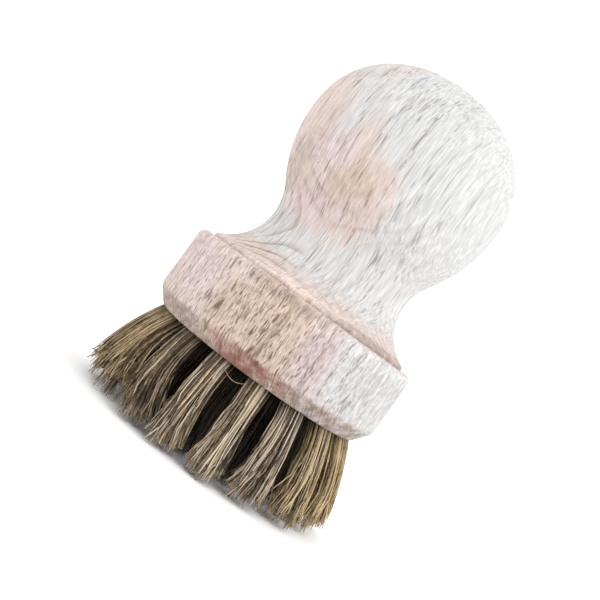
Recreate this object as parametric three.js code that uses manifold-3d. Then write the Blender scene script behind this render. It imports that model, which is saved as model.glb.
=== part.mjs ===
// Round barbecue and pot brush: a beech body turned in one piece, with a knob to hold and a
// round head, filled with tufts of stiff plant fibre. Each tuft is folded over a wire staple
// at the bottom of its own drilled hole, and the holes lean so that the filling fans out.
//
// Units are millimetres. +Z points up through the knob, and the origin lies on the turning's
// axis, in the plane of the trimmed fibre tips that the brush stands on.

import * as THREE from "three";
import { mergeVertices } from "three/addons/utils/BufferGeometryUtils.js";
import Module from "manifold-3d";

const wasm = await Module();
wasm.setup();

// Turned head
const HEAD_DIAMETER = 55;
const HEAD_HEIGHT = 18; // working face to rim land
const CHAMFER_WIDTH = 2.8; // lower edge of the head, measured across the axis
const CHAMFER_HEIGHT = 3.6; // and along it
const RIM_ROUND = 1.6; // radius of the upper edge
const RIM_LAND = 1.4; // width of the flat ring on top of the head
const STEP_HEIGHT = 0.8; // small step from the rim land up to the cove

// Turned handle, with heights above the rim land
const NECK_DIAMETER = 34.4;
const NECK_HEIGHT = 11.5; // narrowest point
const TURNOVER_HEIGHT = 18.2; // where the hollow neck turns into the round knob
const KNOB_DIAMETER = 48;
const KNOB_WIDEST_HEIGHT = 34.5;
const KNOB_TOP_HEIGHT = 55.6;
const CROWN_FULLNESS = 2.2; // exponent of the crown's curve: 2 is an ellipse, more is fuller

// Filling
const TRIM_HEIGHT = 21; // trimmed tips to working face
const RING_NAMES = ["inner", "middle", "outer"];
const RING_COUNTS = [3, 9, 16]; // tufts on each ring
const RING_PITCH = 8.35; // from one ring of holes to the next
const EDGE_MARGIN = 0.4; // wood between the outer holes and the edge of the working face
const FIRST_TUFT_ANGLE = -85.8; // degrees about +Z, of a tuft on the outer ring
const OUTER_LEAN = 17.5; // degrees that the outer holes lean out; inner ones lean less
const HOLE_DIAMETER = 5.2;
const HOLE_DEPTH = 10; // along the hole, from the working face
const TUFT_CLEARANCE = 0.3; // between a tuft and its hole
const TUFT_TIP_DIAMETER = 8.2; // a tuft's spread at its trimmed tips
const LEVEL_TRIM_DIAMETER = 59; // within this the tips are level
const EDGE_TRIM_ANGLE = 45; // degrees that the tips rise at outside it
const STRANDS_PER_TUFT = 15;
const STRAND_WIDTH = 0.6;
const FACE_SLICE = 1.2; // slice of the working face that carries the free strands
const SEAT_GAP = 0.3; // between the slice and the wood and tufts above it, and between slices

// Staples
const WIRE_SIZE = 0.9; // square wire
const STAPLE_BITE = 0.2; // how far each leg cuts into the wall of its hole
const LEG_LENGTH = 4; // crown to point
const FOLD_THICKNESS = 1.5; // fibre between the crown and the bottom of the hole
const STAPLE_CLEARANCE = 0.3; // around the wire, in the wood and in the fold

// Facets
const BODY_SIDES = 48;
const HOLE_SIDES = 8;
const ARC_STEPS = 6;
const CROWN_STEPS = 9;
const STRAND_SIDES = 3;

// Levels and radii that follow from the sizes
const faceZ = TRIM_HEIGHT;
const sliceTopZ = faceZ + FACE_SLICE;
const seatZ = sliceTopZ + SEAT_GAP;
const rimZ = faceZ + HEAD_HEIGHT;
const headRadius = HEAD_DIAMETER / 2;
const faceRadius = headRadius - CHAMFER_WIDTH;
const neckRadius = NECK_DIAMETER / 2;
const knobRadius = KNOB_DIAMETER / 2;
const holeRadius = HOLE_DIAMETER / 2;
const tuftRadius = holeRadius - TUFT_CLEARANCE;
const outerRingRadius = faceRadius - EDGE_MARGIN - holeRadius;
const crownDepth = HOLE_DEPTH - FOLD_THICKNESS - WIRE_SIZE / 2;

// Materials
const beech = new THREE.MeshStandardMaterial({ color: 0xe6d3bd, roughness: 0.62, metalness: 0 });
const fibre = new THREE.MeshStandardMaterial({ color: 0x8d7650, roughness: 0.8, metalness: 0 });
const foldedFibre = new THREE.MeshStandardMaterial({ color: 0x5a4833, roughness: 0.85, metalness: 0 });
const steelWire = new THREE.MeshStandardMaterial({ color: 0xa9a9a6, roughness: 0.4, metalness: 1 });

// Closed geometry as a solid that can be joined and cut
function solidOf(geometry) {
  const bare = geometry.clone();
  bare.deleteAttribute("normal");
  bare.deleteAttribute("uv");
  const merged = mergeVertices(bare, 1e-4);
  return new wasm.Manifold(
    new wasm.Mesh({
      numProp: 3,
      vertProperties: new Float32Array(merged.attributes.position.array),
      triVerts: new Uint32Array(merged.index.array),
    }),
  );
}

// A solid back as geometry with flat facets
function geometryOf(solid) {
  const mesh = solid.getMesh();
  const geometry = new THREE.BufferGeometry();
  geometry.setAttribute("position", new THREE.BufferAttribute(mesh.vertProperties, 3));
  geometry.setIndex(new THREE.BufferAttribute(mesh.triVerts, 1));
  const faceted = geometry.toNonIndexed();
  faceted.computeVertexNormals();
  return faceted;
}

// A profile of radius and height, turned about +Z
function turned(profile, sides) {
  return new THREE.LatheGeometry(profile, sides).rotateX(Math.PI / 2);
}

// Points of an arc in the profile plane, from one angle to another, both in radians
function arc(centreR, centreZ, radius, from, to, steps) {
  return Array.from({ length: steps + 1 }, (_, i) => {
    const angle = from + ((to - from) * i) / steps;
    return new THREE.Vector2(centreR + radius * Math.cos(angle), centreZ + radius * Math.sin(angle));
  });
}

// Radius of the head's lower chamfer at a height
function chamferRadius(z) {
  return faceRadius + ((z - faceZ) * CHAMFER_WIDTH) / CHAMFER_HEIGHT;
}

// Rounded upper edge of the head
function rimEdge() {
  const centreR = headRadius - RIM_ROUND;
  return arc(centreR, rimZ - RIM_ROUND, RIM_ROUND, 0, Math.PI / 2, ARC_STEPS / 2);
}

// Cove from the step on the rim land up to the narrowest point of the neck
function cove() {
  const stepRadius = headRadius - RIM_ROUND - RIM_LAND;
  const neckZ = rimZ + NECK_HEIGHT;
  const across = stepRadius - neckRadius;
  const down = NECK_HEIGHT - STEP_HEIGHT;
  const radius = (across * across + down * down) / (2 * across);
  const end = Math.PI + Math.atan2(down, radius - across);
  const foot = new THREE.Vector2(stepRadius, rimZ);
  return [foot, ...arc(neckRadius + radius, neckZ, radius, end, Math.PI, ARC_STEPS)];
}

// Reverse curve from the neck to the widest point of the knob: two arcs that meet at the turnover
function ogee() {
  const rise = KNOB_WIDEST_HEIGHT - NECK_HEIGHT;
  const swell = knobRadius - neckRadius;
  const bothRadii = (swell * swell + rise * rise) / (2 * swell);
  const hollowShare = (TURNOVER_HEIGHT - NECK_HEIGHT) / rise;
  const hollowRadius = bothRadii * hollowShare;
  const roundRadius = bothRadii - hollowRadius;
  const sweep = Math.asin(rise / bothRadii);
  const neckZ = rimZ + NECK_HEIGHT;
  const widestZ = rimZ + KNOB_WIDEST_HEIGHT;
  const hollowR = neckRadius + hollowRadius;
  const hollow = arc(hollowR, neckZ, hollowRadius, Math.PI, Math.PI - sweep, ARC_STEPS / 2);
  const round = arc(knobRadius - roundRadius, widestZ, roundRadius, -sweep, 0, ARC_STEPS);
  return [...hollow.slice(1), ...round.slice(1)];
}

// Crown of the knob, from its widest point to the top on the axis
function crown() {
  const widestZ = rimZ + KNOB_WIDEST_HEIGHT;
  const height = KNOB_TOP_HEIGHT - KNOB_WIDEST_HEIGHT;
  const power = 2 / CROWN_FULLNESS;
  const points = [];
  for (let i = 1; i < CROWN_STEPS; i += 1) {
    const angle = (Math.PI / 2) * (i / CROWN_STEPS);
    const r = knobRadius * Math.cos(angle) ** power;
    const z = widestZ + height * Math.sin(angle) ** power;
    points.push(new THREE.Vector2(r, z));
  }
  return [...points, new THREE.Vector2(0, rimZ + KNOB_TOP_HEIGHT)];
}

// The turning before it is drilled, down to the seat of the face slices
function turnedBlank() {
  const profile = [
    new THREE.Vector2(0, seatZ),
    new THREE.Vector2(chamferRadius(seatZ), seatZ),
    new THREE.Vector2(headRadius, faceZ + CHAMFER_HEIGHT),
    ...rimEdge(),
    ...cove(),
    ...ogee(),
    ...crown(),
  ];
  return turned(profile, BODY_SIDES);
}

// Radius of a ring of holes at the working face
function ringRadius(ring) {
  return outerRingRadius - (RING_COUNTS.length - 1 - ring) * RING_PITCH;
}

// Every tuft's ring, place and lean. Every other ring is turned by half its spacing, so that its
// tufts stand behind the gaps of the next. In a tuft's own frame the working face is at zero,
// +Z runs up its hole and +X points away from the brush's axis.
function tuftPlaces() {
  const places = [];
  RING_COUNTS.forEach((count, ring) => {
    const radius = ringRadius(ring);
    const lean = THREE.MathUtils.degToRad((OUTER_LEAN * radius) / outerRingRadius);
    const stagger = ((RING_COUNTS.length - 1 - ring) % 2) / 2;
    for (let i = 0; i < count; i += 1) {
      const angle = THREE.MathUtils.degToRad(FIRST_TUFT_ANGLE) + (2 * Math.PI * (i + stagger)) / count;
      places.push({ ring, radius, lean, angle });
    }
  });
  return places;
}

// Group at a tuft's place, turned to its hole
function tuftGroup(place) {
  const spoke = new THREE.Group();
  spoke.rotation.z = place.angle;
  const mouth = new THREE.Group();
  mouth.position.set(place.radius, 0, faceZ);
  mouth.rotation.y = -place.lean;
  spoke.add(mouth);
  spoke.updateMatrixWorld(true);
  return { spoke, mouth };
}

// Blind hole in the tuft's frame, run on below the face so that it opens cleanly
function holeGeometry() {
  const runOut = HOLE_DIAMETER;
  const length = HOLE_DEPTH + runOut;
  return new THREE.CylinderGeometry(holeRadius, holeRadius, length, HOLE_SIDES)
    .rotateX(Math.PI / 2)
    .translate(0, 0, length / 2 - runOut);
}

// U-shaped staple in the tuft's frame: the crown crosses the hole along Y, and the legs run on
// up into the wood to chisel points. Grown by a clearance, it is also the cut that it leaves.
function stapleGeometry(grow) {
  const outer = holeRadius + STAPLE_BITE + grow;
  const inner = holeRadius + STAPLE_BITE - WIRE_SIZE - grow;
  const low = crownDepth - WIRE_SIZE / 2 - grow;
  const high = crownDepth + WIRE_SIZE / 2 + grow;
  const corner = WIRE_SIZE / 2;
  const shoulder = crownDepth + LEG_LENGTH - WIRE_SIZE;
  const point = crownDepth + LEG_LENGTH + grow;
  const outline = new THREE.Shape();
  outline.moveTo(-outer + corner, low);
  outline.lineTo(outer - corner, low);
  outline.lineTo(outer, low + corner);
  outline.lineTo(outer, shoulder);
  outline.lineTo((outer + inner) / 2, point);
  outline.lineTo(inner, shoulder);
  outline.lineTo(inner, high);
  outline.lineTo(-inner, high);
  outline.lineTo(-inner, shoulder);
  outline.lineTo(-(outer + inner) / 2, point);
  outline.lineTo(-outer, shoulder);
  outline.lineTo(-outer, low + corner);
  const depth = WIRE_SIZE + 2 * grow;
  return new THREE.ExtrudeGeometry(outline, { depth, bevelEnabled: false })
    .translate(0, 0, -depth / 2)
    .rotateX(Math.PI / 2)
    .rotateZ(Math.PI / 2);
}

// The drilled body: the turning less every hole and the cut of every staple
function bodyGeometry(places) {
  const hole = holeGeometry();
  const stapleCut = stapleGeometry(STAPLE_CLEARANCE);
  let body = solidOf(turnedBlank());
  for (const place of places) {
    const { mouth } = tuftGroup(place);
    body = body.subtract(solidOf(hole.clone().applyMatrix4(mouth.matrixWorld)));
    body = body.subtract(solidOf(stapleCut.clone().applyMatrix4(mouth.matrixWorld)));
  }
  return geometryOf(body);
}

// The part of a tuft that is bound in its hole, in the tuft's frame: a plug of fibre, rounded
// where it folds over the staple, and cut level with the seat at the mouth
function foldedTuftGeometry(lean) {
  const end = HOLE_DEPTH - TUFT_CLEARANCE;
  const shoulder = end - FOLD_THICKNESS / 2;
  const plug = turned(
    [
      new THREE.Vector2(0, 0),
      new THREE.Vector2(tuftRadius, 0),
      new THREE.Vector2(tuftRadius, shoulder),
      new THREE.Vector2(tuftRadius / 2, end),
      new THREE.Vector2(0, end),
    ],
    HOLE_SIDES,
  );
  const block = 2 * HOLE_DEPTH;
  const belowSeat = new THREE.BoxGeometry(block, block, block)
    .translate(0, 0, seatZ - faceZ - block / 2)
    .rotateY(lean);
  const cut = solidOf(plug)
    .subtract(solidOf(belowSeat))
    .subtract(solidOf(stapleGeometry(STAPLE_CLEARANCE)));
  return geometryOf(cut);
}

// One free strand as a prism with level ends, from a point in the slice to its trimmed tip
function strandGeometry(root, tip) {
  const strand = new THREE.CylinderGeometry(STRAND_WIDTH / 2, STRAND_WIDTH / 2, 1, STRAND_SIDES);
  strand.rotateX(Math.PI / 2).translate(0, 0, 0.5);
  const rise = new THREE.Vector3().subVectors(root, tip);
  const slant = new THREE.Matrix4()
    .makeBasis(new THREE.Vector3(1, 0, 0), new THREE.Vector3(0, 1, 0), rise)
    .setPosition(tip);
  return strand.applyMatrix4(slant);
}

// The free strands of one tuft, spread in a sunflower pattern that widens evenly from root to
// tip, so that no two of them cross. The tips are trimmed level, and around the edge to a cone.
function strandsOf(place) {
  const goldenAngle = Math.PI * (3 - Math.sqrt(5));
  const rootZ = faceZ + FACE_SLICE / 2;
  const slope = Math.tan(place.lean);
  const spoke = new THREE.Matrix4().makeRotationZ(place.angle);
  const half = STRAND_WIDTH / 2;
  const trimSlope = Math.tan(THREE.MathUtils.degToRad(EDGE_TRIM_ANGLE));
  return Array.from({ length: STRANDS_PER_TUFT }, (_, k) => {
    const share = Math.sqrt(k / (STRANDS_PER_TUFT - 1));
    const side = new THREE.Vector3(Math.cos(k * goldenAngle), Math.sin(k * goldenAngle), 0);
    const root = side.clone().multiplyScalar(share * (tuftRadius - half));
    const tip = side.clone().multiplyScalar(share * (TUFT_TIP_DIAMETER / 2 - half));
    root.add(new THREE.Vector3(place.radius - (rootZ - faceZ) * slope, 0, rootZ));
    tip.add(new THREE.Vector3(place.radius + faceZ * slope, 0, 0));
    const past = Math.max(0, Math.hypot(tip.x, tip.y) - LEVEL_TRIM_DIAMETER / 2);
    const splay = (Math.hypot(tip.x, tip.y) - Math.hypot(root.x, root.y)) / rootZ;
    const rise = (trimSlope * past) / (1 + trimSlope * splay);
    return strandGeometry(root, tip.lerp(root, rise / rootZ)).applyMatrix4(spoke);
  });
}

// Slice of the working face under one ring of tufts. The outer slice carries on the chamfer.
function faceSlice(ring) {
  const isOuter = ring === RING_COUNTS.length - 1;
  const innerR = ring === 0 ? 0 : ringRadius(ring) - (RING_PITCH - SEAT_GAP) / 2;
  const joinR = ringRadius(ring) + (RING_PITCH - SEAT_GAP) / 2;
  const profile = [
    new THREE.Vector2(innerR, faceZ),
    new THREE.Vector2(isOuter ? faceRadius : joinR, faceZ),
    new THREE.Vector2(isOuter ? chamferRadius(sliceTopZ) : joinR, sliceTopZ),
    new THREE.Vector2(innerR, sliceTopZ),
  ];
  if (ring > 0) profile.push(profile[0].clone());
  return turned(profile, BODY_SIDES);
}

// All free strands of one ring, joined to their slice of the working face
function strandRingGeometry(ring, places) {
  const strands = places.filter((place) => place.ring === ring).flatMap(strandsOf);
  const joined = strands.reduce((solid, strand) => solid.add(solidOf(strand)), solidOf(faceSlice(ring)));
  return geometryOf(joined);
}

function namedMesh(name, geometry, material) {
  const mesh = new THREE.Mesh(geometry, material);
  mesh.name = name;
  return mesh;
}

// The whole brush
function buildBrush() {
  const places = tuftPlaces();
  const brush = new THREE.Group();
  brush.name = "barbecue_brush";
  brush.add(namedMesh("beech_body", bodyGeometry(places), beech));
  const staple = stapleGeometry(0);
  RING_NAMES.forEach((ringName, ring) => {
    const inRing = places.filter((place) => place.ring === ring);
    brush.add(namedMesh(`${ringName}_strands`, strandRingGeometry(ring, places), fibre));
    const foldedTuft = foldedTuftGeometry(inRing[0].lean);
    inRing.forEach((place, i) => {
      const number = String(i + 1).padStart(2, "0");
      const { spoke, mouth } = tuftGroup(place);
      mouth.add(namedMesh(`${ringName}_tuft_${number}`, foldedTuft, foldedFibre));
      mouth.add(namedMesh(`${ringName}_staple_${number}`, staple, steelWire));
      brush.add(spoke);
    });
  });
  return brush;
}

export default buildBrush();
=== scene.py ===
"""Looks of a round barbecue and pot brush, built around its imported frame.

The body is one turning of beech, drilled for its tufts. Each tuft is a bundle of stiff plant
fibres, folded over a wire staple at the bottom of its hole. Lengths are in metres, +Z runs up
through the knob, and the fibre tips stand on the plane z = 0.
"""

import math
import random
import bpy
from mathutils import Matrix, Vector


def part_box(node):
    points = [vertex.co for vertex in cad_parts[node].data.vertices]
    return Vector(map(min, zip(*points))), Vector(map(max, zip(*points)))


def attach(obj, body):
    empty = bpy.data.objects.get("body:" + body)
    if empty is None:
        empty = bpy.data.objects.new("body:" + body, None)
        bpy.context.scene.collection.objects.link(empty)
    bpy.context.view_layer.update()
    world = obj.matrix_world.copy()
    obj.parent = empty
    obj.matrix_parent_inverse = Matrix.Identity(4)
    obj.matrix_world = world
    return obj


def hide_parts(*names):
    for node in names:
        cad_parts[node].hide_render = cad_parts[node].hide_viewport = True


bl_info = {
    "name": "Fibre Brush",
    "version": (1, 0, 0),
    "blender": (4, 5, 0),
    "location": "View3D > Sidebar > Fibre Brush",
    "description": "Dresses the frame of a round brush with turned beech and tufts of plant fibre",
    "category": "Object",
}

from collections import namedtuple

import bmesh
import bpy
from bpy.props import FloatProperty, FloatVectorProperty, IntProperty, PointerProperty
from mathutils import Matrix, Vector

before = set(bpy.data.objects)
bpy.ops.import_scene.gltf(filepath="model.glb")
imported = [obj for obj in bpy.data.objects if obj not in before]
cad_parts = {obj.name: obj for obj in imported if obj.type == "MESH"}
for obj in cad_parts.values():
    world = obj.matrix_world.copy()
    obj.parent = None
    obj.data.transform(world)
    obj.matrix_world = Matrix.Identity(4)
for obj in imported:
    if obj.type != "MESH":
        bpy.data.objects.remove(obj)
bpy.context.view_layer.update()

MM = 0.001

BODY_LOW, BODY_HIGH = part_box("beech_body")
RING_NAMES = ("inner", "middle", "outer")


def length(name, description, default):
    """A size that a user can change."""
    return FloatProperty(
        name=name, description=description, default=default, precision=5, unit="LENGTH", subtype="DISTANCE"
    )


def turn(name, description, degrees):
    """An angle that a user can change."""
    return FloatProperty(
        name=name, description=description, default=math.radians(degrees), unit="ROTATION", subtype="ANGLE"
    )


def colour(name, description, default):
    """A linear colour that a user can change."""
    return FloatVectorProperty(
        name=name, description=description, default=default, size=3, min=0, max=1, subtype="COLOR"
    )


class TurnedBodySettings(bpy.types.PropertyGroup):
    """Sizes and colours of the turned beech body. Heights of the handle are above the rim land."""

    head_diameter: length("Head Diameter", "Across the head", BODY_HIGH.x - BODY_LOW.x)
    head_height: length("Head Height", "Working face to rim land", 18 * MM)
    chamfer_width: length("Chamfer Width", "Lower edge of the head, across the axis", 2.8 * MM)
    chamfer_height: length("Chamfer Height", "Lower edge of the head, along the axis", 3.6 * MM)
    edge_ease: length("Edge Ease", "Sanding of the sharper turned corners", 0.45 * MM)
    arris_ease: length("Arris Ease", "Sanding of the blunt corner above the chamfer", 0.8 * MM)
    rim_round: length("Rim Round", "Radius of the head's upper edge", 1.6 * MM)
    rim_land: length("Rim Land", "Width of the flat ring on top of the head", 1.4 * MM)
    step_height: length("Step Height", "Small step from the rim land up to the cove", 0.8 * MM)
    neck_diameter: length("Neck Diameter", "Narrowest point of the neck", 34.4 * MM)
    neck_height: length("Neck Height", "Height of the narrowest point", 11.5 * MM)
    turnover_height: length("Turnover Height", "Where the hollow neck turns into the knob", 18.2 * MM)
    knob_diameter: length("Knob Diameter", "Widest point of the knob", 48 * MM)
    knob_widest_height: length("Knob Widest Height", "Height of the widest point", 34.5 * MM)
    knob_top: length("Knob Top", "Top of the knob above the fibre tips", BODY_HIGH.z)
    crown_fullness: FloatProperty(
        name="Crown Fullness",
        description="Exponent of the crown's curve: 2 is an ellipse, more is fuller",
        default=2.2,
    )
    pale_wood: colour("Pale Wood", "Sapwood", (0.595, 0.593, 0.589))
    grey_wood: colour("Grey Wood", "Sapwood of the head, greyed by water", (0.572, 0.571, 0.569))
    pink_wood: colour("Pink Wood", "Heart side of the blank", (0.632, 0.525, 0.485))
    mauve_wood: colour("Mauve Wood", "Cooler flushes beside the heartwood", (0.65, 0.522, 0.54))
    tan_wood: colour("Tan Wood", "Warmest patches of the head and the knob", (0.565, 0.44, 0.365))
    ring_line: colour("Ring Line", "Late wood at the end of each year", (0.29, 0.20, 0.145))
    ray_fleck: colour("Ray Fleck", "Dark flecks along the grain", (0.10, 0.077, 0.06))
    warm_fleck: colour("Warm Fleck", "The same flecks in the warmer wood", (0.125, 0.08, 0.05))
    # Also the colour of the painted shade in the crease, on the rim's front and on the knob's left
    soak_and_shade_wood: colour("Soaked Wood", "Wood that grease and water have soaked", (0.28, 0.205, 0.155))
    grill_stain: colour("Grill Stain", "Red stain on the chamfer", (0.28, 0.085, 0.07))
    stain_blush: colour("Stain Blush", "Paler end of the red stain", (0.62, 0.42, 0.375))
    ring_spacing: length("Ring Spacing", "Width of a year's growth", 1.8 * MM)


class FillingSettings(bpy.types.PropertyGroup):
    """Sizes and colours of the tufts of plant fibre."""

    trim_height: length("Trim Height", "Trimmed tips to working face", 21 * MM)
    outer_ring_radius: length("Outer Ring Radius", "Axis to the outer holes", 21.7 * MM)
    ring_pitch: length("Ring Pitch", "From one ring of holes to the next", 8.35 * MM)
    outer_lean: turn("Outer Lean", "How far the outer holes lean out; inner ones lean less", 17.5)
    first_tuft_angle: turn("First Tuft Angle", "First tuft of the outer ring, about the axis", -85.8)
    hole_diameter: length("Hole Diameter", "Drilled hole of a tuft", 5.2 * MM)
    hole_depth: length("Hole Depth", "Along the hole, from the working face", 10 * MM)
    crown_depth: length("Crown Depth", "Middle of the staple's crown, up the hole", 8.05 * MM)
    wire_size: length("Wire Size", "Square wire of the staples", 0.9 * MM)
    bundle_diameter: length("Bundle Diameter", "A tuft at the mouth of its hole", 4.9 * MM)
    tip_depth: length("Tip Depth", "A tuft's spread at its tips, away from the axis", 7.8 * MM)
    tip_width: length("Tip Width", "A tuft's spread at its tips, around the axis", 10.6 * MM)
    fibre_width: length("Fibre Width", "Mean width of a fibre", 0.27 * MM)
    fibres: IntProperty(name="Fibres", description="Folded fibres in a tuft, each with two ends", default=140)
    dark_fibre: colour("Dark Fibre", "Darkest fibres", (0.030, 0.021, 0.013))
    brown_fibre: colour("Brown Fibre", "Common brown fibres", (0.15, 0.104, 0.064))
    tan_fibre: colour("Tan Fibre", "Paler fibres", (0.40, 0.31, 0.22))
    pale_fibre: colour("Pale Fibre", "Palest fibres", (0.60, 0.505, 0.395))
    straw_tint: colour("Straw Tint", "Tint of the yellower fibres", (1.0, 0.93, 0.66))
    # Painted shade: the inner and middle tufts are the same fibre as the outer ones, darkened by this share
    inner_shade: FloatProperty(
        name="Inner Shade",
        description="Tone of the inner tufts as a share of the outer ones",
        default=0.125,
        subtype="FACTOR",
    )
    wire_steel: colour("Wire Steel", "Drawn steel of the staples", (0.56, 0.56, 0.55))


class StageSettings(bpy.types.PropertyGroup):
    """Camera, light and floor."""

    camera_distance: length("Camera Distance", "Camera to the brush's axis", 225 * MM)
    camera_height: length("Camera Height", "Camera above the floor", 38.6 * MM)
    camera_side: length("Camera Side", "Camera to the right of the axis", -1.65 * MM)
    camera_roll: turn("Camera Roll", "How far the brush leans to the right in the picture", 36.25)
    lens: FloatProperty(
        name="Lens", description="Focal length, in millimetres", default=63.05, subtype="DISTANCE_CAMERA"
    )
    sky: colour("Sky", "Even light from all around", (1.0, 1.0, 1.0))
    sky_strength: FloatProperty(name="Sky Strength", description="Brightness of the even light", default=1.3)
    key_strength: FloatProperty(name="Key Strength", description="Soft light from the right", default=0.7)
    key_spread: turn("Key Spread", "How wide the soft light is", 60)
    floor: colour("Floor", "Plain pale floor", (0.95, 0.95, 0.95))


# Meshes and pieces


def mesh_from(name, bm):
    """A finished mesh."""
    mesh = bpy.data.meshes.new(name)
    bm.to_mesh(mesh)
    bm.free()
    return mesh


def placed(name, data):
    """An object in the scene."""
    made = bpy.data.objects.new(name, data)
    bpy.context.scene.collection.objects.link(made)
    return made


def piece_from(name, bm, material, slot, *replaced):
    """A finished mesh as a piece of the brush that stands for the nodes that it replaces."""
    mesh = mesh_from(name, bm)
    mesh.materials.append(material)
    piece = placed(name, mesh)
    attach(piece, "root")
    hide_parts(*replaced)
    return piece


def cut_away(piece, cutters):
    """Drill a piece with a mesh of cutters, and keep the result as its mesh."""
    tool_mesh = mesh_from("cutters", cutters)
    tool = placed("cutters", tool_mesh)
    drill = piece.modifiers.new("drill", "BOOLEAN")
    drill.operation = "DIFFERENCE"
    drill.solver = "EXACT"
    drill.object = tool
    drilled = piece.evaluated_get(bpy.context.evaluated_depsgraph_get())
    whole = piece.data
    piece.data = bpy.data.meshes.new_from_object(drilled)
    piece.data.name = piece.name
    piece.modifiers.remove(drill)
    bpy.data.meshes.remove(whole)
    bpy.data.objects.remove(tool)
    bpy.data.meshes.remove(tool_mesh)


# Materials


class Shading:
    """A material's node tree, with short ways to add nodes and join them."""

    def __init__(self, name):
        self.material = bpy.data.materials.new(name)
        self.material.use_nodes = True
        self.tree = self.material.node_tree
        self.shader = self.tree.nodes["Principled BSDF"]

    def feed(self, socket, value):
        """Join an output to a socket, or set the socket to a value."""
        if isinstance(value, bpy.types.NodeSocket):
            self.tree.links.new(value, socket)
        else:
            socket.default_value = value

    def node(self, kind, inputs, **settings):
        made = self.tree.nodes.new(kind)
        for setting, value in settings.items():
            setattr(made, setting, value)
        for socket, value in inputs.items():
            self.feed(made.inputs[socket], value)
        return made

    def finish(self, **inputs):
        """Set the shader's own sockets, named with underscores for spaces."""
        for socket, value in inputs.items():
            self.feed(self.shader.inputs[socket.replace("_", " ")], value)
        return self.material

    def attribute(self, name):
        return self.node("ShaderNodeAttribute", {}, attribute_name=name).outputs["Fac"]

    def millimetres(self):
        """Object coordinates in millimetres."""
        return self.scaled(self.node("ShaderNodeTexCoord", {}).outputs["Object"], 1 / MM)

    def mapped(self, vector, **inputs):
        sockets = {socket.title(): value for socket, value in inputs.items()}
        return self.node("ShaderNodeMapping", {"Vector": vector, **sockets}).outputs[0]

    def scaled(self, vector, factor):
        """A colour or a place, times a number."""
        return self.node("ShaderNodeVectorMath", {0: vector, "Scale": factor}, operation="SCALE").outputs[0]

    def vector(self, operation, *values):
        """Outcome of an operation on vectors: a number for a length or a dot product."""
        made = self.node("ShaderNodeVectorMath", dict(enumerate(values)), operation=operation)
        return made.outputs["Value" if operation in ("LENGTH", "DOT_PRODUCT") else "Vector"]

    def math(self, operation, *values):
        return self.node("ShaderNodeMath", dict(enumerate(values)), operation=operation).outputs[0]

    def times(self, product, *factors):
        """Product of two or more values."""
        for factor in factors:
            product = self.math("MULTIPLY", product, factor)
        return product

    def plus(self, base, value, share):
        """A base with a share of another value added to it."""
        return self.math("MULTIPLY_ADD", value, share, base)

    def off(self, value, middle):
        """How far a value is from a number, on either side."""
        return self.math("ABSOLUTE", self.math("SUBTRACT", value, middle))

    def fade(self, value, at_none, at_full):
        """0 to 1 as a value goes from one number to another, easing in and out."""
        sockets = {"Value": value, "From Min": at_none, "From Max": at_full}
        return self.node("ShaderNodeMapRange", sockets, interpolation_type="SMOOTHSTEP").outputs[0]

    def between(self, value, low, high):
        """A value of 0 to 1 spread between two others."""
        return self.node("ShaderNodeMapRange", {"Value": value, "To Min": low, "To Max": high}).outputs[0]

    def noise(self, vector, spans, detail=2.0, roughness=0.5):
        """Cloudy noise of 0 to 1, with clouds of so many millimetres along each axis."""
        place = self.mapped(vector, scale=[1 / span for span in spans])
        sockets = {"Vector": place, "Scale": 1.0, "Detail": detail, "Roughness": roughness}
        return self.node("ShaderNodeTexNoise", sockets).outputs[0]

    def ragged(self, vector, spans, detail, reach):
        """Cloudy noise about zero, to roughen the edge of a mark."""
        return self.math("MULTIPLY_ADD", self.noise(vector, spans, detail), reach, -reach / 2)

    def mix(self, amount, base, top, blend="MIX"):
        """One colour over another, by an amount of 0 to 1."""
        mixer = self.node("ShaderNodeMix", {0: amount}, data_type="RGBA", blend_type=blend)
        self.feed(mixer.inputs[6], opaque(base))
        self.feed(mixer.inputs[7], opaque(top))
        return mixer.outputs[2]

    def bump(self, height, distance, strength):
        sockets = {"Height": height, "Distance": distance, "Strength": strength}
        return self.node("ShaderNodeBump", sockets).outputs[0]


def opaque(value):
    """A colour of three numbers with its alpha; an output is passed on as it is."""
    return value if isinstance(value, bpy.types.NodeSocket) else (*value, 1.0)


# Patches of colour in the wood, marks that use has left on it, and patches of painted shade. Each has
# its degrees round from the front, its height above the fibre tips, its width and its length, in millimetres
KNOB_HEART = (
    (-56, 69, 9, 20),
    (-46, 59, 13, 15),
    (-24, 69, 9, 18),
    (-18, 61.5, 18, 18),
    (-26, 56.2, 16, 10),
)
KNOB_TAN = (-17, 60.5, 19, 17)
HEAD_TAN = (-12, 29, 31, 34)
HEAD_STREAK = (15.5, 31, 7, 32)
MAUVE_FLUSHES = (
    (-35, 66.7, 8, 10),
    (-30, 55, 14, 11),
    (-52, 32.5, 12, 12),
    (16, 31, 7.5, 15),
    (38, 23.4, 13, 4),
)
HEAD_MARKS = (
    (-30, 28.4, 1.3, 3),
    (-6.7, 33.2, 0.7, 2.6),
    (-11.5, 28.2, 0.6, 1.6),
    (-7.9, 25.2, 0.8, 1.8),
    (-2.4, 24, 1, 1.2),
    (0.4, 26.5, 0.9, 2),
)
# Painted shade at the lower left edge of the knob, turned away from the key light
KNOB_LEFT_SHADE = (-52, 62, 7, 14)
GRILL_STAIN = (-6.5, 22.6, 19, 5)
STAIN_BLUSH = (-21, 23.2, 9, 4.5)
# Painted shade on the front of the rim
RIM_FRONT_SHADE = (-7, 37.7, 19, 3.4)

PITH_DISTANCE = 70.0  # from the brush's axis to the middle of the tree, in millimetres
PITH_TURN = math.radians(20.0)  # round from straight behind
WAVE_PERIOD = 2 * math.pi / 20  # of the wave texture at a scale of 1
NECK_RISE = 10.0  # middle of the grey neck above the rim land, in millimetres
PINK_RISE = 1.5  # middle of the pink band in the cove
COVE_RISE = 3.0  # low in the cove, where flecks are faint


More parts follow.
